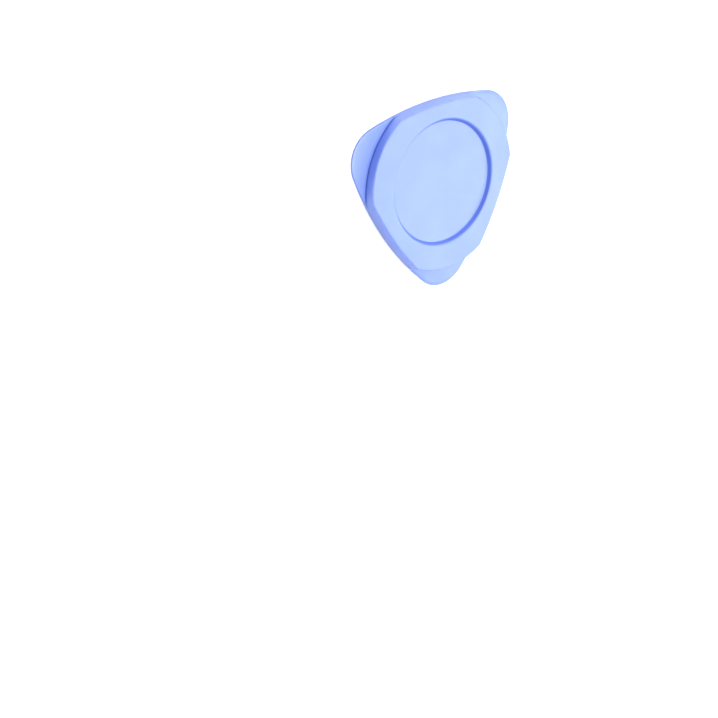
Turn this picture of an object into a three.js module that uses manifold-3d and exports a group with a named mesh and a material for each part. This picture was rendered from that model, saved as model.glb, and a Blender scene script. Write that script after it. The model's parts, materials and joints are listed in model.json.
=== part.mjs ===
// Triangular opening pick, in millimetres.
// The flat back lies on z = 0, the thumb recess opens towards +Z, and one blade tip points to -Y.
// A thin three-cornered blade plate carries a thicker grip pad. The pad follows the sides of the
// plate, and round arcs stop it short of the three corners, which stay thin and work as blades.
import * as THREE from 'three';
import { mergeVertices } from 'three/addons/utils/BufferGeometryUtils.js';
import Module from 'manifold-3d';

const wasm = await Module();
wasm.setup();

// Driving dimensions
const TOTAL_THICKNESS = 2.4;
const PLATE_THICKNESS = 0.6;
const BLADE_EDGE_THICKNESS = 0.35;

const PLATE_APOTHEM = 13.3; // centre to the middle of a side
const TIP_REACH = 18.4; // centre to the end of a blade tip
const TIP_RADIUS = 5.6;

const GRIP_FACE_APOTHEM = 13.06; // a little less than the plate: the side walls have draft
const GRIP_CORNER_RADIUS = 14.83; // the arcs that stop the pad short of the tips, at their foot
const GRIP_CORNER_DRAFT = 0.07;
const GRIP_EDGE_BREAK = 0.15; // small chamfer round the grip's face

const RECESS_DEPTH = 0.65;
const RECESS_FLOOR_RADIUS = 10.0;
const RECESS_LIP_RADIUS = 0.55; // rounding from the recess wall out to the face
const RECESS_WALL_SLOPE = 0.1; // how far the wall leans out below the lip

// Fineness of the round stretches
const SIDE_STEPS = 20;
const TIP_STEPS = 18;
const RING_STEPS = 96;
const LIP_STEPS = 5;

// Derived heights
const GRIP_HEIGHT = TOTAL_THICKNESS - PLATE_THICKNESS;
const RECESS_FLOOR_Z = TOTAL_THICKNESS - RECESS_DEPTH;

const THIRD_TURN = (2 * Math.PI) / 3;
const FIRST_TIP_ANGLE = -Math.PI / 2;

// Points of one arc, without its last point, which is the next arc's first.
function arcPoints(centreX, centreY, radius, from, to, steps) {
  return new THREE.ArcCurve(centreX, centreY, radius, from, to, false).getPoints(steps).slice(0, -1);
}

// A side bows outwards as an arc. This is how far behind the pick's centre that arc's own centre
// lies, so that the side runs smoothly into the round tips.
function sideCentreOffset() {
  const tipCentre = TIP_REACH - TIP_RADIUS;
  const inset = PLATE_APOTHEM - TIP_RADIUS;
  return (tipCentre ** 2 - inset ** 2) / (2 * inset - tipCentre);
}

const SIDE_OFFSET = sideCentreOffset();

// Repeats one corner and the side after it for all three corners.
function threefold(cornerAndSide) {
  return [0, 1, 2].flatMap((corner) => cornerAndSide(FIRST_TIP_ANGLE + corner * THIRD_TURN));
}

// Outline of the blade plate: three tip arcs joined by three bowed sides.
function plateOutline() {
  const tipCentre = TIP_REACH - TIP_RADIUS;
  const sideRadius = SIDE_OFFSET + PLATE_APOTHEM;
  // Seen from the side's arc centre, the tip centre is this far round from the side's middle.
  const acrossSide = tipCentre * Math.sin(THIRD_TURN / 2);
  const alongSide = tipCentre * Math.cos(THIRD_TURN / 2) + SIDE_OFFSET;
  const halfSide = Math.atan2(acrossSide, alongSide);
  const halfTip = THIRD_TURN / 2 - halfSide;
  return threefold((tip) => {
    const side = tip + THIRD_TURN / 2;
    return [
      ...arcPoints(tipCentre * Math.cos(tip), tipCentre * Math.sin(tip), TIP_RADIUS,
        tip - halfTip, tip + halfTip, TIP_STEPS),
      ...arcPoints(-SIDE_OFFSET * Math.cos(side), -SIDE_OFFSET * Math.sin(side), sideRadius,
        side - halfSide, side + halfSide, SIDE_STEPS),
    ];
  });
}

// Outline of the grip pad: the same bowed sides, cut short by arcs round the pick's centre.
function gripOutline(apothem, cornerRadius) {
  const sideRadius = SIDE_OFFSET + apothem;
  const halfSide = Math.acos(
    (SIDE_OFFSET ** 2 + sideRadius ** 2 - cornerRadius ** 2) / (2 * SIDE_OFFSET * sideRadius),
  );
  const sideEnd = Math.asin((sideRadius * Math.sin(halfSide)) / cornerRadius);
  const halfCorner = THIRD_TURN / 2 - sideEnd;
  return threefold((tip) => {
    const side = tip + THIRD_TURN / 2;
    return [
      ...arcPoints(0, 0, cornerRadius, tip - halfCorner, tip + halfCorner, TIP_STEPS),
      ...arcPoints(-SIDE_OFFSET * Math.cos(side), -SIDE_OFFSET * Math.sin(side), sideRadius,
        side - halfSide, side + halfSide, SIDE_STEPS),
    ];
  });
}

// Closed body through outlines stacked upwards, all with the same number of points.
function loft(rings) {
  const count = rings[0].outline.length;
  const positions = rings.flatMap(({ outline, z }) => outline.flatMap((point) => [point.x, point.y, z]));
  const faces = [];
  for (let ring = 0; ring < rings.length - 1; ring += 1) {
    for (let i = 0; i < count; i += 1) {
      const next = (i + 1) % count;
      const low = ring * count;
      const high = low + count;
      faces.push(low + i, low + next, high + next, low + i, high + next, high + i);
    }
  }
  const top = (rings.length - 1) * count;
  for (const [a, b, c] of THREE.ShapeUtils.triangulateShape(rings[0].outline, [])) {
    faces.push(c, b, a);
  }
  for (const [a, b, c] of THREE.ShapeUtils.triangulateShape(rings[rings.length - 1].outline, [])) {
    faces.push(top + a, top + b, top + c);
  }
  const geometry = new THREE.BufferGeometry();
  geometry.setAttribute('position', new THREE.Float32BufferAttribute(positions, 3));
  geometry.setIndex(faces);
  return geometry;
}

// Body of revolution about the Z axis, from a profile of (radius, height) points.
function turned(profile) {
  const points = profile.map(([radius, height]) => new THREE.Vector2(radius, height));
  return new THREE.LatheGeometry(points, RING_STEPS).rotateX(Math.PI / 2);
}

function toSolid(geometry) {
  geometry.deleteAttribute('normal');
  geometry.deleteAttribute('uv');
  const merged = mergeVertices(geometry);
  return new wasm.Manifold(new wasm.Mesh({
    numProp: 3,
    vertProperties: merged.attributes.position.array,
    triVerts: Uint32Array.from(merged.index.array),
  }));
}

function toGeometry(solid) {
  const mesh = solid.getMesh();
  const geometry = new THREE.BufferGeometry();
  geometry.setAttribute('position', new THREE.BufferAttribute(mesh.vertProperties, 3));
  geometry.setIndex(new THREE.BufferAttribute(mesh.triVerts, 1));
  return geometry;
}

// Ring above the three tips. Its sloping underside leaves them tapering to the blade edge.
function bladeTaperCutter() {
  const clearance = 1;
  const taper = (PLATE_THICKNESS - BLADE_EDGE_THICKNESS) / (TIP_REACH - GRIP_CORNER_RADIUS);
  const outerRadius = TIP_REACH + clearance;
  const outerHeight = BLADE_EDGE_THICKNESS - taper * clearance;
  return turned([
    [GRIP_CORNER_RADIUS, PLATE_THICKNESS],
    [outerRadius, outerHeight],
    [outerRadius, PLATE_THICKNESS + clearance],
    [GRIP_CORNER_RADIUS, PLATE_THICKNESS + clearance],
    [GRIP_CORNER_RADIUS, PLATE_THICKNESS],
  ]);
}

// Shallow round dish with a steep wall and a rounded lip.
function recessCutter() {
  const clearance = 1;
  const lipFoot = RECESS_FLOOR_RADIUS + RECESS_WALL_SLOPE;
  const lipCentre = new THREE.Vector2(lipFoot + RECESS_LIP_RADIUS, TOTAL_THICKNESS - RECESS_LIP_RADIUS);
  const lip = new THREE.ArcCurve(lipCentre.x, lipCentre.y, RECESS_LIP_RADIUS, Math.PI, Math.PI / 2, true);
  return turned([
    [0, RECESS_FLOOR_Z],
    [RECESS_FLOOR_RADIUS, RECESS_FLOOR_Z],
    ...lip.getPoints(LIP_STEPS).map((point) => [point.x, point.y]),
    [lipCentre.x, TOTAL_THICKNESS + clearance],
    [0, TOTAL_THICKNESS + clearance],
  ]);
}

function bladePlate() {
  const outline = plateOutline();
  const blank = loft([{ outline, z: 0 }, { outline, z: PLATE_THICKNESS }]);
  return toGeometry(toSolid(blank).subtract(toSolid(bladeTaperCutter())));
}

// The pad is made from its own base upwards, and stands on the plate.
function gripPad() {
  const chamferBase = GRIP_HEIGHT - GRIP_EDGE_BREAK;
  const faceCornerRadius = GRIP_CORNER_RADIUS - GRIP_CORNER_DRAFT;
  const blank = loft([
    { outline: gripOutline(PLATE_APOTHEM, GRIP_CORNER_RADIUS), z: 0 },
    { outline: gripOutline(GRIP_FACE_APOTHEM, faceCornerRadius), z: chamferBase },
    {
      outline: gripOutline(GRIP_FACE_APOTHEM - GRIP_EDGE_BREAK, faceCornerRadius - GRIP_EDGE_BREAK),
      z: GRIP_HEIGHT,
    },
  ]);
  const dish = recessCutter().translate(0, 0, -PLATE_THICKNESS);
  return toGeometry(toSolid(blank).subtract(toSolid(dish)));
}

function part(name, geometry, material) {
  geometry.computeVertexNormals();
  const mesh = new THREE.Mesh(geometry, material);
  mesh.name = name;
  return mesh;
}

const bluePlastic = { color: 0x7d9bf2, roughness: 0.38, metalness: 0 };

const pick = new THREE.Group();
pick.add(part('blade_plate', bladePlate(), new THREE.MeshStandardMaterial(bluePlastic)));

const grip = part('grip_pad', gripPad(), new THREE.MeshStandardMaterial(bluePlastic));
grip.position.z = PLATE_THICKNESS;
pick.add(grip);

export default pick;
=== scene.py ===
import json
import math

import bpy
import numpy as np
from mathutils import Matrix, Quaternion, Vector
from mathutils.geometry import delaunay_2d_cdt


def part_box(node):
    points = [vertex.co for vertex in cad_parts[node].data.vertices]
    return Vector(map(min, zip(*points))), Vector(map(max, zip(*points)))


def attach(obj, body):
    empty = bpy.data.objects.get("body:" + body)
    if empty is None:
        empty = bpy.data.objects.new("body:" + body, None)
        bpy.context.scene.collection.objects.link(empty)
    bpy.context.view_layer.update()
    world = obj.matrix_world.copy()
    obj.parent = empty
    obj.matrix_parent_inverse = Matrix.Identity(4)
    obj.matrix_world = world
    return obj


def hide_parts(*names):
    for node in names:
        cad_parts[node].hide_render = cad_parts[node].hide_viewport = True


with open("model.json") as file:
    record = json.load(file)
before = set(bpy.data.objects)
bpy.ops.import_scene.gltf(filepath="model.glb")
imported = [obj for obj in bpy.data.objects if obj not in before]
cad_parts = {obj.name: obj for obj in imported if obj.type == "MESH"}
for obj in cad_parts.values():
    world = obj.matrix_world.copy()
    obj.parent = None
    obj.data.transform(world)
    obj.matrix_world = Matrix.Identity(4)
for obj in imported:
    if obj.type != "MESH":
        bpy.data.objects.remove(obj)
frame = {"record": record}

MM = 0.001
THIRD_TURN = 2 * math.pi / 3
FIRST_TIP = -math.pi / 2
FIRST_SIDE = FIRST_TIP + THIRD_TURN / 2

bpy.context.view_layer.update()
plate_low, plate_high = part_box("blade_plate")
grip_low, grip_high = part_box("grip_pad")
mounts = {mount["name"]: mount for mount in frame["record"]["mounts"]}

# Outline and heights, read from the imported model
TIP_REACH = -plate_low.y / MM
PLATE_APOTHEM = plate_high.y / MM
PLATE_TOP = plate_high.z / MM
FACE_TOP = grip_high.z / MM
GRIP_CORNER_RADIUS = -grip_low.y / MM
RECESS_FLOOR = mounts["thumb_recess_floor"]["pos_m"][2] / MM

# The plate's half width is how far the round ends of its two upper tips reach along X
TIP_SLANT = math.cos(THIRD_TURN / 4)
TIP_RADIUS = (plate_high.x / MM - TIP_REACH * TIP_SLANT) / (1 - TIP_SLANT)

# Outline details that the boxes don't give
BLADE_EDGE = 0.24
SIDE_DRAFT = 0.1
CORNER_DRAFT = 0.04
CORNER_BLEND = 1.2

# Small roundings of the moulding
FACE_EDGE_RADIUS = 0.3
FOOT_RADIUS = 0.06
BACK_EDGE_RADIUS = 0.09
TIP_EDGE_RADIUS = 0.14

# Blade edges start to be rounded this far past the grip, and are fully rounded this far past it
TIP_ROUND_FROM = 0.1
TIP_ROUND_FULL = 0.7

# The blade face runs in under the grip by this much, through rings at these shares of the way
UNDER_GRIP = 0.3
BLADE_SHARES = (0.02, 0.15, 0.4, 0.7, 0.9, 1.0)

# Painted shade at the feet of the steps and on the recess wall: how high it climbs each step, where
# on the radius it fades in, how strong the recess's is, and how steeply that one comes in over the lip
STEP_SHADE_CLIMB = 0.5
STEP_FADE_FROM = 0.6
STEP_FADE_TO = 0.1
RECESS_SHADE = 0.75
RECESS_SHADE_EASE = 3

# Thumb recess: a sloping wall, rounded where it leaves the face
RECESS_REACH = 10.68
RECESS_ROUND = 0.45
RECESS_SLOPE = math.radians(55)
RECESS_FOOT = 0.12
RECESS_FLOOR_RINGS = (8, 5, 2, 0.6)
LIP_WEAR_AND_HIGHLIGHT = 0.5

# Marks that the mould leaves: the sheared gate on one side and three ejector pins on the back
GATE_HALF_WIDTH = 0.9
GATE_LOW, GATE_HIGH = 1.0, 1.6
GATE_STEP = 0.05
GATE_PROUD = 0.1
GATE_TEAR = 0.25
GATE_TEAR_WAVES = ((9, 7), (4, -11))
PIN_RADIUS = 1.25
PIN_DEPTH = 0.04
PIN_CIRCLE = 11.2
PIN_WEAR = 0.4

# Fineness. SUPPORT is the gap of the extra ring that keeps an edge's shading tight, SIDE_STRETCH
# and SIDE_DIGITS place the extra points of a side, and points that agree to WELD_DIGITS decimals
# become one
TIP_STEPS = 72
BLEND_STEPS = 12
SIDE_STEPS = 72
SIDE_DIGITS = 6
SIDE_STRETCH = 1.03
WALL_STEPS = 12
FACE_SHARES = (0, 0.2, 0.5, 0.8, 1)
ROUNDING_STEPS = 8
LIP_STEPS = 16
PIN_STEPS = 48
SUPPORT = 0.03
WELD_DIGITS = 4

# Surface: linear colours, feature sizes, depths of the relief, and (low, high) ranges of noise
COLOURS = {
    "body": (0.165, 0.265, 0.785),
    "body_deep": (0.152, 0.248, 0.755),
    "streak": (0.180, 0.282, 0.800),
    # The next colour is a painted shade for the feet of the steps and the recess wall
    "painted_shade": (0.015, 0.045, 0.330),
    # The next colour whitens scratches and worn edges, and on the rims it is also a painted highlight
    "rubbed_and_highlight": (0.330, 0.430, 0.880),
    "floor": (0.920, 0.920, 0.925),
    "floor_shade": (0.890, 0.890, 0.900),
}
CLOUD_SIZE = 7.0
CLOUD_RANGE = (0.35, 0.65)
STREAK_WIDTH = 0.12
STREAK_RANGE = (0.5, 0.7)
STREAK_SHARE = 0.2
SHADE_SHARE = 0.5
SHADE_DULLING = 0.9
SMEAR_SIZE = 5.0
SMEAR_RANGE = (0.4, 0.7)
SMEAR_GLOSS = (-0.02, 0.035)
# Worn edges pale in ragged patches, never below RAGGED_LEAST, so every rim keeps some painted
# highlight
RAGGED_SIZE = 0.8
RAGGED_RANGE = (0.42, 0.62)
RAGGED_LEAST = 0.45
SCRATCH_PATCH = 4.0
SCRATCH_PATCH_RANGE = (0.5, 0.65)
SCRATCH_CUT = 0.68
SCRATCH_EDGE = 0.04
SCRATCH_DEPTH = 0.006
SCRATCH_LEAST = 0.3
SCRATCH_ROUGHENS = 0.12
WEAR_POLISHES = 0.08
PALE_SHARE = 0.5
WAVE_SIZE = 6.0
WAVE_DEPTH = 0.02
GRAIN_SIZE = 0.2
GRAIN_DEPTH = 0.012
PLASTIC_IOR = 1.5
PLASTIC_SHINE = 0.85
GLOW_SHARE = 0.15
GLOW_REACH = (0.3, 0.5, 1.0)

# Scratches run in three directions: angle, length, width, and a shift that keeps them apart
SCRATCHES = ((0.35, 7, 0.11, 3), (-1.1, 5, 0.09, 11), (1.9, 9, 0.13, 23))

# Floor
FLOOR_RADIUS = 420
FLOOR_STEPS = 128
FLOOR_GAP = 0.01
FLOOR_CLOUD_SIZE = 60
FLOOR_CLOUD_RANGE = (0.3, 0.7)
FLOOR_ROUGHNESS = 0.7
FLOOR_GRAIN_SIZE = 0.8
FLOOR_GRAIN_DEPTH = 0.01

# Lights: turn and rise in degrees, size, and power in watts
LIGHT_DISTANCE = 600
LIGHTS = {
    "key": (-28, 36, 300, 1.5),
    "high": (-15, 60, 360, 0.2),
    "top": (0, 90, 360, 3.55),
    "right": (40, 35, 360, 1.15),
    "back": (95, 28, 360, 0.45),
}

# Surroundings: a bright band up to BAND_TOP, fading to the dimmer room at FADE_TOP
BAND_TOP = math.radians(6)
FADE_TOP = math.radians(16)
BAND_LIGHT = 1.0
ROOM_LIGHT = 0.36

# The camera looks down at the pick from about 46 degrees up, rolled well over to one side
CAMERA_PLACE = Vector((-166.26, 94.21, 200.54)) * MM
CAMERA_AIM = Vector((-18.61, -25.51, 0)) * MM
CAMERA_ROLL = math.radians(114.94)
CAMERA_LENS = 85.2
CAMERA_SENSOR = 36
CAMERA_NEAR = 10
CAMERA_FAR = 20000

# A side is an arc about a point this far behind the axis, and it meets the round tips smoothly
SIDE_OFFSET = (
    ((TIP_REACH - TIP_RADIUS) ** 2 - (PLATE_APOTHEM - TIP_RADIUS) ** 2)
    / (2 * (PLATE_APOTHEM - TIP_RADIUS) - (TIP_REACH - TIP_RADIUS))
)


# ---------------------------------------------------------------- outlines

def smooth(low, high, value):
    """0 below low, 1 above high, with an even ease between."""
    t = np.clip((value - low) / (high - low), 0, 1)
    return t * t * (3 - 2 * t)


def even(steps):
    """Evenly spaced shares from 0 up to, but not at, 1."""
    return np.linspace(0, 1, steps, endpoint=False)


def side_fractions():
    """Places along a side, with extra ones close to the gate mark's upright edges.

    They are close to the edges and not on them, because half_side is an estimate.
    """
    half_side = PLATE_APOTHEM * math.tan(THIRD_TURN / 4) * SIDE_STRETCH
    gate = np.array([GATE_HALF_WIDTH, GATE_HALF_WIDTH + GATE_STEP])
    extra = np.concatenate((-gate, gate)) / (2 * half_side) + 0.5
    return np.unique(np.round(np.concatenate((even(SIDE_STEPS), extra)), SIDE_DIGITS))


def arc(centre, radius, start, end, fractions):
    """Points on an arc, from start up to, but not at, its end."""
    angles = start + (end - start) * fractions
    return np.stack((
        centre[0] + radius * np.cos(angles),
        centre[1] + radius * np.sin(angles),
    ), axis=1)


def threefold(pattern):
    """Repeats the first tip and the side after it round the pick's axis."""
    turned = []
    for corner in range(3):
        c, s = math.cos(corner * THIRD_TURN), math.sin(corner * THIRD_TURN)
        turned.append(pattern @ np.array(((c, s), (-s, c))))
    return np.concatenate(turned)


def polar(radius, angle):
    """The point at a radius and an angle from the axis."""
    return np.array((radius * math.cos(angle), radius * math.sin(angle)))


GATE_PLACE = (*polar(PLATE_APOTHEM, FIRST_SIDE), (GATE_LOW + GATE_HIGH) / 2)


def plate_outline(inset):
    """The blade plate's outline: round tips joined by bowed sides."""
    side = FIRST_SIDE
    side_centre = polar(-SIDE_OFFSET, side)
    tip_centre = polar(TIP_REACH - TIP_RADIUS, FIRST_TIP)
    across = tip_centre - side_centre
    half_side = abs(side - math.atan2(across[1], across[0]))
    half_tip = THIRD_TURN / 2 - half_side
    return threefold(np.concatenate((
        arc(tip_centre, TIP_RADIUS - inset, FIRST_TIP - half_tip, FIRST_TIP + half_tip,
            even(TIP_STEPS)),
        arc(side_centre, SIDE_OFFSET + PLATE_APOTHEM - inset, side - half_side, side + half_side,
            side_fractions()),
    )))


def grip_outline(apothem, corner_radius, blend_radius):
    """The grip pad's outline: bowed sides cut short by arcs about the axis, with blended corners."""
    side = FIRST_SIDE
    side_centre = polar(-SIDE_OFFSET, side)
    reach = corner_radius - blend_radius
    side_reach = SIDE_OFFSET + apothem - blend_radius
    half_gap = math.acos(
        (side_reach ** 2 - SIDE_OFFSET ** 2 - reach ** 2) / (2 * SIDE_OFFSET * reach)
    )
    half_corner = THIRD_TURN / 2 - half_gap
    blend_before = polar(reach, side - half_gap)
    blend_after = polar(reach, side + half_gap)
    across = blend_after - side_centre
    half_side = math.atan2(across[1], across[0]) - side
    return threefold(np.concatenate((
        arc((0, 0), corner_radius, FIRST_TIP - half_corner, FIRST_TIP + half_corner,
            even(TIP_STEPS)),
        arc(blend_before, blend_radius, side - half_gap, side - half_side, even(BLEND_STEPS)),
        arc(side_centre, SIDE_OFFSET + apothem, side - half_side, side + half_side,
            side_fractions()),
        arc(blend_after, blend_radius, side + half_side, side + half_gap, even(BLEND_STEPS)),
    )))


def lift(outline, height):
    """An outline in the plane becomes a ring of points at a height, or at a height for each point."""
    return np.column_stack((outline, np.broadcast_to(height, len(outline))))


def rounding():
    """Angles of a quarter round."""
    return np.linspace(0, math.pi / 2, ROUNDING_STEPS)


# ---------------------------------------------------------------- meshes

class Skin:
    """A surface laid ring by ring. Its points carry their wear, partly a painted rim highlight, and
    their painted shade.
    """

    def __init__(self):
        self.points = []
        self.wear_and_highlight = []
        self.painted_shade = []
        self.faces = []
        self.sharp = set()
        self.ring = None

    def add_points(self, points, wear_and_highlight=0.0, painted_shade=0.0):
        first = len(self.points)
        self.points.extend(map(tuple, points))
        self.wear_and_highlight.extend(np.broadcast_to(wear_and_highlight, len(points)))
        self.painted_shade.extend(np.broadcast_to(painted_shade, len(points)))
        return list(range(first, first + len(points)))

    def add_ring(self, points, wear_and_highlight=0.0, painted_shade=0.0, sharp=None):
        """Joins a new ring to the one before it. sharp marks the points whose ring edge is hard."""
        ring = self.add_points(points, wear_and_highlight, painted_shade)
        if self.ring:
            for i in range(len(ring)):
                j = (i + 1) % len(ring)
                self.faces.append((self.ring[i], self.ring[j], ring[j], ring[i]))
        if sharp is not None:
            for i in np.flatnonzero(sharp):
                self.sharp.add(frozenset((ring[i], ring[(i + 1) % len(ring)])))
        self.ring = ring
        return ring

    def close_to_point(self, point, ring=None):
        """Closes a ring, or the last one, with a fan. A reversed ring faces the fan the other way."""
        ring = ring or self.ring
        centre = self.add_points([point])[0]
        for i in range(len(ring)):
            self.faces.append((ring[i], ring[(i + 1) % len(ring)], centre))

    def weld(self):
        """The kept points, and each point's place among them: points that coincide become one."""
        first = {}
        spots = [tuple(round(c, WELD_DIGITS) for c in point) for point in self.points]
        for i, spot in enumerate(spots):
            first.setdefault(spot, i)
        kept = list(first.values())
        order = {spot: k for k, spot in enumerate(first)}
        return kept, [order[spot] for spot in spots]

    def object(self, name, material):
        """Makes the Blender object, with its wear (partly a painted rim highlight) and its painted
        shade as point attributes.
        """
        kept, place = self.weld()
        faces = []
        for face in self.faces:
            corners = [place[i] for i in face]
            corners = [corner for k, corner in enumerate(corners) if corner != corners[k - 1]]
            if len(corners) > 2:
                faces.append(corners)
        sharp = {frozenset(place[i] for i in edge) for edge in self.sharp}
        mesh = bpy.data.meshes.new(name)
        mesh.from_pydata([Vector(self.points[i]) * MM for i in kept], [], faces)
        mesh.polygons.foreach_set("use_smooth", [True] * len(mesh.polygons))
        hard = mesh.attributes.new("sharp_edge", "BOOLEAN", "EDGE")
        hard.data.foreach_set("value", [frozenset(edge.vertices) in sharp for edge in mesh.edges])
        for mark, values in (("wear_and_highlight", self.wear_and_highlight), ("painted_shade", self.painted_shade)):
            attribute = mesh.attributes.new(mark, "FLOAT", "POINT")
            attribute.data.foreach_set("value", np.array([values[i] for i in kept], np.float32))
        mesh.materials.append(material)
        mesh.update()
        mesh.validate()
        piece = bpy.data.objects.new(name, mesh)
        bpy.context.scene.collection.objects.link(piece)
        return piece


def blade_top(radius):
    """Height of the plate's upper face: flat under the grip, then tapering to the blade edge."""
    taper = (PLATE_TOP - BLADE_EDGE) / (TIP_REACH - GRIP_CORNER_RADIUS)
    return PLATE_TOP - taper * np.maximum(radius - GRIP_CORNER_RADIUS, 0)


def radii(outline):
    """Each point's distance from the axis."""
    return np.hypot(outline[:, 0], outline[:, 1])


def pin_ring(place, radius, height):
    """A ring round an ejector pin mark, turned so that its faces look out of the back."""
    angles = -2 * math.pi * even(PIN_STEPS)
    return np.column_stack((
        place[0] + radius * np.cos(angles), place[1] + radius * np.sin(angles),
        np.full(PIN_STEPS, height),
    ))


def make_blade_plate(material):
    skin = Skin()
    # Back edge, from the flat back round to the side wall
    back = plate_outline(BACK_EDGE_RADIUS + SUPPORT)
    rim = skin.add_ring(lift(back, 0))
    for turn in rounding()[::-1]:
        inset = BACK_EDGE_RADIUS * (1 - math.cos(turn))
        height = BACK_EDGE_RADIUS * (1 - math.sin(turn))
        skin.add_ring(lift(plate_outline(inset), height), wear_and_highlight=math.sin(turn))
    # Upper edge: rounded along the tips, and a plain crease where the grip's wall carries on
    at_top = plate_outline(SIDE_DRAFT * PLATE_TOP)
    tip = smooth(
        GRIP_CORNER_RADIUS + TIP_ROUND_FROM, GRIP_CORNER_RADIUS + TIP_ROUND_FULL, radii(at_top),
    )
    round_radius = TIP_EDGE_RADIUS * tip
    top = blade_top(radii(at_top))
    directions = at_top - plate_outline(SIDE_DRAFT * PLATE_TOP + 1)
    for turn in rounding():
        inset = round_radius * (1 - math.cos(turn))
        height = top - round_radius * (1 - math.sin(turn))
        ring = at_top - directions * inset[:, None]
        # The pale band on the tip rounding is partly edge wear and partly a painted highlight
        skin.add_ring(lift(ring, height), wear_and_highlight=tip * math.sin(2 * turn), sharp=tip == 0)
    # Blade faces, in to just under the grip
    under_grip = GRIP_CORNER_RADIUS - UNDER_GRIP
    inner = ring * np.minimum(1, under_grip / radii(ring))[:, None]
    for share in BLADE_SHARES:
        between = ring + (inner - ring) * share
        skin.add_ring(lift(between, blade_top(radii(between))))
    skin.add_ring(lift(inner * 0.5, PLATE_TOP))
    skin.close_to_point((0, 0, PLATE_TOP))
    # Back face, with the ejector pin marks
    pins = []
    for corner in range(3):
        place = polar(PIN_CIRCLE, FIRST_TIP + corner * THIRD_TURN)
        skin.ring = None
        pins.append(skin.add_ring(pin_ring(place, PIN_RADIUS + SUPPORT, 0)))
        skin.add_ring(pin_ring(place, PIN_RADIUS, 0), wear_and_highlight=PIN_WEAR)
        skin.add_ring(pin_ring(place, PIN_RADIUS - PIN_DEPTH / 2, PIN_DEPTH))
        skin.add_ring(pin_ring(place, PIN_RADIUS - PIN_DEPTH / 2 - SUPPORT, PIN_DEPTH))
        skin.close_to_point((*place, PIN_DEPTH))
    fill_back(skin, rim, pins)
    return skin.object("blade_plate_moulding", material)


def fill_back(skin, rim, pins):
    """Fills the flat back between its rim and the round pin marks."""
    index, loops, edges = [], [], []
    for number, loop in enumerate((rim, *pins)):
        start = len(index)
        edges += [(start + i, start + (i + 1) % len(loop)) for i in range(len(loop))]
        index += loop
        loops += [number] * len(loop)
    flat = [Vector(skin.points[i][:2]) for i in index]
    _, _, faces, *_ = delaunay_2d_cdt(flat, edges, [], 1, 1e-6)
    for face in faces:
        # A face with all its corners on one pin mark lies in that mark's hole
        touched = {loops[i] for i in face}
        if 0 in touched or len(touched) > 1:
            skin.faces.append(tuple(index[i] for i in reversed(face)))


def gate_mark(outline, height):
    """Pushes out the sheared gate stub on the side after the first tip."""
    outward = polar(1, FIRST_SIDE)
    along = outline @ np.array((-outward[1], outward[0]))
    facing = outline @ outward > 0
    across = 1 - smooth(GATE_HALF_WIDTH, GATE_HALF_WIDTH + GATE_STEP, np.abs(along))
    up = smooth(GATE_LOW - GATE_STEP, GATE_LOW, height)
    up = up * (1 - smooth(GATE_HIGH, GATE_HIGH + GATE_STEP, height))
    first, second = (np.sin(along * a + height * b) for a, b in GATE_TEAR_WAVES)
    torn = 1 + GATE_TEAR * first * second
    return outline + outward * (GATE_PROUD * up * across * facing * torn)[:, None]


def painted_step_shade(outline, height):
    """Painted shade on a wall's points: full at the foot of each step, where the blade meets the grip,
    fading up the wall and away from the step.
    """
    at_step = smooth(
        GRIP_CORNER_RADIUS - STEP_FADE_FROM, GRIP_CORNER_RADIUS - STEP_FADE_TO, radii(outline),
    )
    return at_step * (1 - smooth(PLATE_TOP, PLATE_TOP + STEP_SHADE_CLIMB, height))


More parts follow.
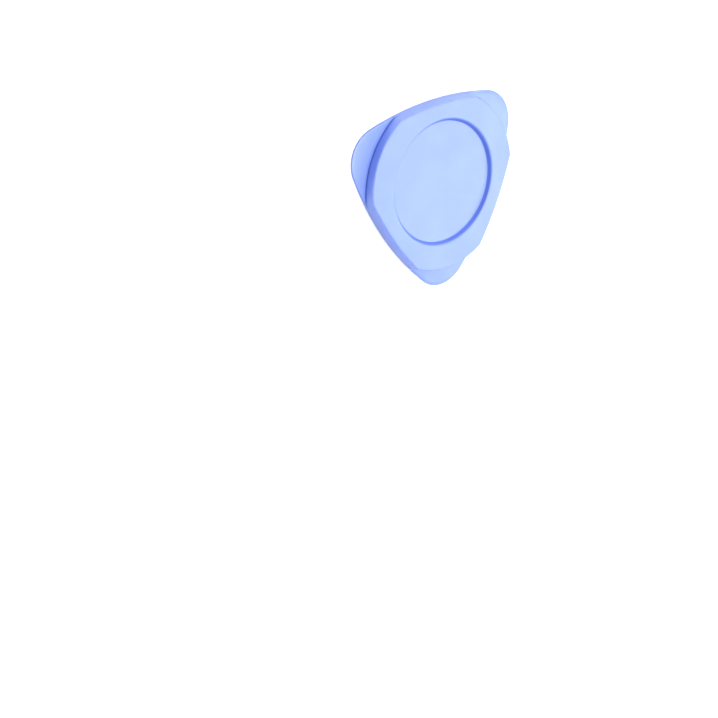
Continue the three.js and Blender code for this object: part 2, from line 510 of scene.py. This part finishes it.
def make_grip_pad(material):
    skin = Skin()

    def wall(height):
        """The side walls' apothem and the corner arcs' radius at a height, with their draft."""
        apothem = PLATE_APOTHEM - SIDE_DRAFT * height
        corner = GRIP_CORNER_RADIUS - CORNER_DRAFT * (height - PLATE_TOP)
        return apothem, corner

    # Underside, then the small fillet at the foot of the three steps, which takes painted shade
    apothem, corner = wall(PLATE_TOP)
    foot = grip_outline(apothem, corner + FOOT_RADIUS, CORNER_BLEND)
    under = skin.add_ring(lift(foot * 0.5, PLATE_TOP))
    skin.close_to_point((0, 0, PLATE_TOP), under[::-1])
    foot_height = np.minimum(PLATE_TOP, blade_top(radii(foot)))
    skin.add_ring(lift(foot, foot_height), sharp=np.ones(len(foot)))
    for turn in rounding()[1:]:
        height = PLATE_TOP + FOOT_RADIUS * (1 - math.cos(turn))
        apothem, corner = wall(height)
        flare = FOOT_RADIUS * (1 - math.sin(turn))
        ring = grip_outline(apothem, corner + flare, CORNER_BLEND)
        skin.add_ring(lift(ring, height), painted_shade=painted_step_shade(ring, height))
    # Side walls, with extra rings at the gate mark and painted shade low down at the steps
    gate_heights = (GATE_LOW - GATE_STEP, GATE_LOW, GATE_HIGH, GATE_HIGH + GATE_STEP)
    edge_start = FACE_TOP - FACE_EDGE_RADIUS
    wall_heights = np.linspace(PLATE_TOP + 2 * FOOT_RADIUS, edge_start - SUPPORT, WALL_STEPS)
    for height in sorted((*wall_heights, *gate_heights)):
        apothem, corner = wall(height)
        ring = gate_mark(grip_outline(apothem, corner, CORNER_BLEND), height)
        skin.add_ring(lift(ring, height), painted_shade=painted_step_shade(ring, height))
    # Rounded edge of the face, with a pale band along its middle that is partly wear and partly a
    # painted highlight
    apothem, corner = wall(edge_start)
    for turn in rounding():
        inset = FACE_EDGE_RADIUS * (1 - math.cos(turn))
        edge = grip_outline(apothem - inset, corner - inset, CORNER_BLEND - inset)
        height = edge_start + FACE_EDGE_RADIUS * math.sin(turn)
        skin.add_ring(lift(edge, height), wear_and_highlight=math.sin(2 * turn))
    # Face, in to the recess
    edge = grip_outline(
        apothem - FACE_EDGE_RADIUS - SUPPORT, corner - FACE_EDGE_RADIUS - SUPPORT,
        CORNER_BLEND - FACE_EDGE_RADIUS - SUPPORT,
    )
    circle = edge / radii(edge)[:, None]
    lip = circle * (RECESS_REACH + SUPPORT)
    for share in FACE_SHARES:
        skin.add_ring(lift(edge + (lip - edge) * share, FACE_TOP))
    # Recess: rounded lip, sloping wall, small fillet, flat floor. The lip gets a pale band, partly
    # wear and partly a painted highlight, and painted shade deepens down the wall to its foot and
    # fades out onto the floor
    for turn in np.linspace(0, RECESS_SLOPE, LIP_STEPS):
        radius = RECESS_REACH - RECESS_ROUND * math.sin(turn)
        height = FACE_TOP - RECESS_ROUND * (1 - math.cos(turn))
        share = turn / RECESS_SLOPE
        wear_and_highlight = LIP_WEAR_AND_HIGHLIGHT * math.sin(math.pi * share)
        painted_shade = RECESS_SHADE * share ** RECESS_SHADE_EASE
        skin.add_ring(lift(circle * radius, height), wear_and_highlight=wear_and_highlight, painted_shade=painted_shade)
    foot_drop = RECESS_FOOT * (1 - math.cos(RECESS_SLOPE))
    radius -= (height - RECESS_FLOOR - foot_drop) / math.tan(RECESS_SLOPE)
    foot_centre = radius - RECESS_FOOT * math.sin(RECESS_SLOPE)
    for turn in np.linspace(RECESS_SLOPE, 0, ROUNDING_STEPS):
        height = RECESS_FLOOR + RECESS_FOOT * (1 - math.cos(turn))
        ring = circle * (foot_centre + RECESS_FOOT * math.sin(turn))
        skin.add_ring(lift(ring, height), painted_shade=RECESS_SHADE * turn / RECESS_SLOPE)
    for radius in (foot_centre - SUPPORT, *RECESS_FLOOR_RINGS):
        skin.add_ring(lift(circle * radius, RECESS_FLOOR))
    skin.close_to_point((0, 0, RECESS_FLOOR))
    return skin.object("grip_pad_moulding", material)


# ---------------------------------------------------------------- materials

class Nodes:
    """Builds a material's nodes on the object's own coordinates, with sizes in millimetres."""

    def __init__(self, name):
        self.material = bpy.data.materials.new(name)
        self.material.use_nodes = True
        self.tree = self.material.node_tree
        self.shader = self.tree.nodes["Principled BSDF"]
        metres = self.tree.nodes.new("ShaderNodeTexCoord").outputs["Object"]
        self.place = self.vector("SCALE", metres, Scale=1 / MM)

    def add(self, kind, settings=None, **inputs):
        node = self.tree.nodes.new(kind)
        for name, value in (settings or {}).items():
            setattr(node, name, value)
        for name, value in inputs.items():
            self.put(node.inputs[name.replace("_", " ")], value)
        return node

    def put(self, socket, value):
        if isinstance(value, bpy.types.NodeSocket):
            self.tree.links.new(value, socket)
        else:
            socket.default_value = value

    def vector(self, operation, first, second=None, **inputs):
        node = self.add("ShaderNodeVectorMath", {"operation": operation}, **inputs)
        self.put(node.inputs[0], first)
        if second is not None:
            self.put(node.inputs[1], second)
        return node.outputs["Value" if operation == "LENGTH" else "Vector"]

    def math(self, operation, first, second):
        node = self.add("ShaderNodeMath", {"operation": operation})
        self.put(node.inputs[0], first)
        self.put(node.inputs[1], second)
        return node.outputs[0]

    def remap(self, value, low, high, to_low=0.0, to_high=1.0):
        node = self.add("ShaderNodeMapRange", Value=value, From_Min=low, From_Max=high,
                        To_Min=to_low, To_Max=to_high)
        return node.outputs[0]

    def noise(self, size, detail=2.0, place=None, shift=0.0):
        """Cloudy noise with features of about the given size."""
        moved = self.vector("ADD", place or self.place, (shift, shift, shift))
        return self.add("ShaderNodeTexNoise", Vector=moved, Scale=1 / size, Detail=detail).outputs[0]

    def scratches(self, angle, length, width, shift):
        """Thin straight lines along one direction, gathered in patches."""
        turned = self.add("ShaderNodeMapping", {"vector_type": "TEXTURE"}, Vector=self.place,
                          Rotation=(0, 0, angle), Scale=(length, width, width * 4))
        lines = self.noise(1.0, 1.0, turned.outputs[0], shift)
        patches = self.remap(self.noise(SCRATCH_PATCH, 1.0, shift=shift), *SCRATCH_PATCH_RANGE)
        lines = self.remap(lines, SCRATCH_CUT, SCRATCH_CUT + SCRATCH_EDGE)
        return self.math("MULTIPLY", lines, patches)

    def mix(self, share, first, second):
        node = self.add("ShaderNodeMixRGB", Fac=share)
        self.put(node.inputs[1], first)
        self.put(node.inputs[2], second)
        return node.outputs[0]

    def bump(self, height, distance, under=None):
        """Relief of a depth, laid over the relief under it."""
        node = self.add("ShaderNodeBump", Height=height, Distance=distance * MM, Strength=1.0)
        if under is not None:
            self.put(node.inputs["Normal"], under)
        return node.outputs[0]


def colour(name):
    """A named colour with its alpha."""
    return (*COLOURS[name], 1)


def plastic(name, rub, roughness):
    """Moulded blue plastic. rub is how far handling has scratched and whitened it, and how strong the
    painted highlight on its rims is.
    """
    nodes = Nodes(name)
    # Colour: cloudy pigment, streaks that fan out from the gate, painted shade at the step feet and
    # recess wall, and paler rubbed edges that are partly a painted highlight on the rims
    clouds = nodes.remap(nodes.noise(CLOUD_SIZE, 3.0), *CLOUD_RANGE)
    body = nodes.mix(clouds, colour("body"), colour("body_deep"))
    from_gate = nodes.vector("NORMALIZE", nodes.vector("SUBTRACT", nodes.place, GATE_PLACE))
    streaks = nodes.noise(STREAK_WIDTH, 3.0, from_gate)
    streaks = nodes.remap(streaks, *STREAK_RANGE, 0.0, STREAK_SHARE)
    body = nodes.mix(streaks, body, colour("streak"))
    shade_mask = nodes.add("ShaderNodeAttribute", {"attribute_name": "painted_shade"}).outputs["Fac"]
    body = nodes.mix(nodes.math("MULTIPLY", shade_mask, SHADE_SHARE), body, colour("painted_shade"))
    reach = nodes.vector("LENGTH", nodes.vector("MULTIPLY", nodes.place, (1, 1, 0)))
    tips = nodes.remap(reach, GRIP_CORNER_RADIUS, TIP_REACH, SCRATCH_LEAST, 1.0)
    first, second, third = (nodes.scratches(*each) for each in SCRATCHES)
    lines = nodes.math("MAXIMUM", nodes.math("MAXIMUM", first, second), third)
    lines = nodes.math("MULTIPLY", nodes.math("MULTIPLY", lines, tips), rub)
    worn_and_lit = nodes.add("ShaderNodeAttribute", {"attribute_name": "wear_and_highlight"}).outputs["Fac"]
    ragged = nodes.noise(RAGGED_SIZE, 4.0, shift=7)
    ragged = nodes.remap(ragged, *RAGGED_RANGE, RAGGED_LEAST, 1.0)
    worn_and_lit = nodes.math("MULTIPLY", nodes.math("MULTIPLY", worn_and_lit, ragged), rub)
    pale_lines = nodes.math("MULTIPLY", lines, PALE_SHARE)
    pale = nodes.math("MAXIMUM", pale_lines, nodes.math("MULTIPLY", worn_and_lit, PALE_SHARE))
    nodes.put(nodes.shader.inputs["Base Color"], nodes.mix(pale, body, colour("rubbed_and_highlight")))
    # Gloss: satin mould finish, with smears from handling
    smears = nodes.noise(SMEAR_SIZE, 5.0, shift=31)
    smears = nodes.remap(smears, *SMEAR_RANGE, *SMEAR_GLOSS)
    gloss = nodes.math("ADD", smears, roughness)
    gloss = nodes.math("ADD", gloss, nodes.math("MULTIPLY", lines, SCRATCH_ROUGHENS))
    gloss = nodes.math("SUBTRACT", gloss, nodes.math("MULTIPLY", worn_and_lit, WEAR_POLISHES))
    nodes.put(nodes.shader.inputs["Roughness"], gloss)
    # Relief: slow waviness, fine spark-eroded grain and the scratches
    relief = nodes.bump(nodes.noise(WAVE_SIZE, 1.0, shift=17), WAVE_DEPTH)
    relief = nodes.bump(nodes.noise(GRAIN_SIZE, 3.0), GRAIN_DEPTH, under=relief)
    relief = nodes.bump(nodes.math("MULTIPLY", lines, -1.0), SCRATCH_DEPTH, under=relief)
    nodes.put(nodes.shader.inputs["Normal"], relief)
    nodes.put(nodes.shader.inputs["IOR"], PLASTIC_IOR)
    # Painted shade also dulls the sheen where it darkens the colour
    shine = nodes.remap(shade_mask, 0, 1, PLASTIC_SHINE, PLASTIC_SHINE * (1 - SHADE_DULLING))
    nodes.put(nodes.shader.inputs["Specular IOR Level"], shine)
    nodes.put(nodes.shader.inputs["Subsurface Weight"], GLOW_SHARE)
    nodes.put(nodes.shader.inputs["Subsurface Radius"], GLOW_REACH)
    nodes.put(nodes.shader.inputs["Subsurface Scale"], MM)
    return nodes.material


def floor_material():
    """A pale matt table top, faintly clouded."""
    nodes = Nodes("pale_floor")
    clouds = nodes.remap(nodes.noise(FLOOR_CLOUD_SIZE, 3.0), *FLOOR_CLOUD_RANGE)
    pale = nodes.mix(clouds, colour("floor"), colour("floor_shade"))
    nodes.put(nodes.shader.inputs["Base Color"], pale)
    nodes.put(nodes.shader.inputs["Roughness"], FLOOR_ROUGHNESS)
    grain = nodes.bump(nodes.noise(FLOOR_GRAIN_SIZE, 3.0), FLOOR_GRAIN_DEPTH)
    nodes.put(nodes.shader.inputs["Normal"], grain)
    return nodes.material


# ---------------------------------------------------------------- stage

def make_floor():
    """A round table top. Its edge is where the light on it stops looking white."""
    angles = 2 * math.pi * even(FLOOR_STEPS)
    rim = np.column_stack((np.cos(angles), np.sin(angles))) * FLOOR_RADIUS
    mesh = bpy.data.meshes.new("floor")
    mesh.from_pydata(lift(rim, -FLOOR_GAP) * MM, [], [list(range(FLOOR_STEPS))])
    mesh.materials.append(floor_material())
    floor = bpy.data.objects.new("floor", mesh)
    bpy.context.scene.collection.objects.link(floor)


def area_light(name, turn, rise, size, power):
    """A round soft light aimed at the pick. turn and rise are degrees from +X and from the floor."""
    data = bpy.data.lights.new(name, "AREA")
    data.shape = "DISK"
    data.size = size * MM
    data.energy = power
    light = bpy.data.objects.new(name, data)
    turn, rise = math.radians(turn), math.radians(rise)
    level = math.cos(rise)
    toward = Vector((level * math.cos(turn), level * math.sin(turn), math.sin(rise)))
    light.location = toward * LIGHT_DISTANCE * MM
    light.rotation_mode = "QUATERNION"
    light.rotation_quaternion = (-light.location).to_track_quat("-Z", "Y")
    bpy.context.scene.collection.objects.link(light)


def make_lights():
    for name, setting in LIGHTS.items():
        area_light(name, *setting)


def make_surroundings():
    """An even dim studio, white round the horizon like the sweep of a studio backdrop."""
    world = bpy.data.worlds.new("studio")
    world.use_nodes = True
    tree = world.node_tree
    direction = tree.nodes.new("ShaderNodeTexCoord").outputs["Generated"]
    parts = tree.nodes.new("ShaderNodeSeparateXYZ")
    tree.links.new(direction, parts.inputs[0])
    fade = tree.nodes.new("ShaderNodeMapRange")
    tree.links.new(parts.outputs["Z"], fade.inputs["Value"])
    for name, value in (("From Min", math.sin(BAND_TOP)), ("From Max", math.sin(FADE_TOP)),
                        ("To Min", BAND_LIGHT), ("To Max", ROOM_LIGHT)):
        fade.inputs[name].default_value = value
    background = tree.nodes["Background"]
    background.inputs["Color"].default_value = (1, 1, 1, 1)
    tree.links.new(fade.outputs[0], background.inputs["Strength"])
    bpy.context.scene.world = world


def make_camera():
    data = bpy.data.cameras.new("camera")
    data.lens = CAMERA_LENS
    data.sensor_width = CAMERA_SENSOR
    data.clip_start = CAMERA_NEAR * MM
    data.clip_end = CAMERA_FAR * MM
    camera = bpy.data.objects.new("camera", data)
    camera.location = CAMERA_PLACE
    camera.rotation_mode = "QUATERNION"
    aim = (CAMERA_AIM - CAMERA_PLACE).to_track_quat("-Z", "Y")
    camera.rotation_quaternion = aim @ Quaternion((0, 0, 1), CAMERA_ROLL)
    bpy.context.scene.collection.objects.link(camera)
    bpy.context.scene.camera = camera


make_camera()
plate = make_blade_plate(plastic("blade_plastic", rub=1.0, roughness=0.41))
grip = make_grip_pad(plastic("grip_plastic", rub=0.4, roughness=0.42))
for piece, node, slot in ((plate, "blade_plate", "blade_plastic"), (grip, "grip_pad", "grip_plastic")):
    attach(piece, "root")
    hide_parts(node)
make_floor()
make_lights()
make_surroundings()
bpy.context.scene.view_settings.view_transform = "Standard"
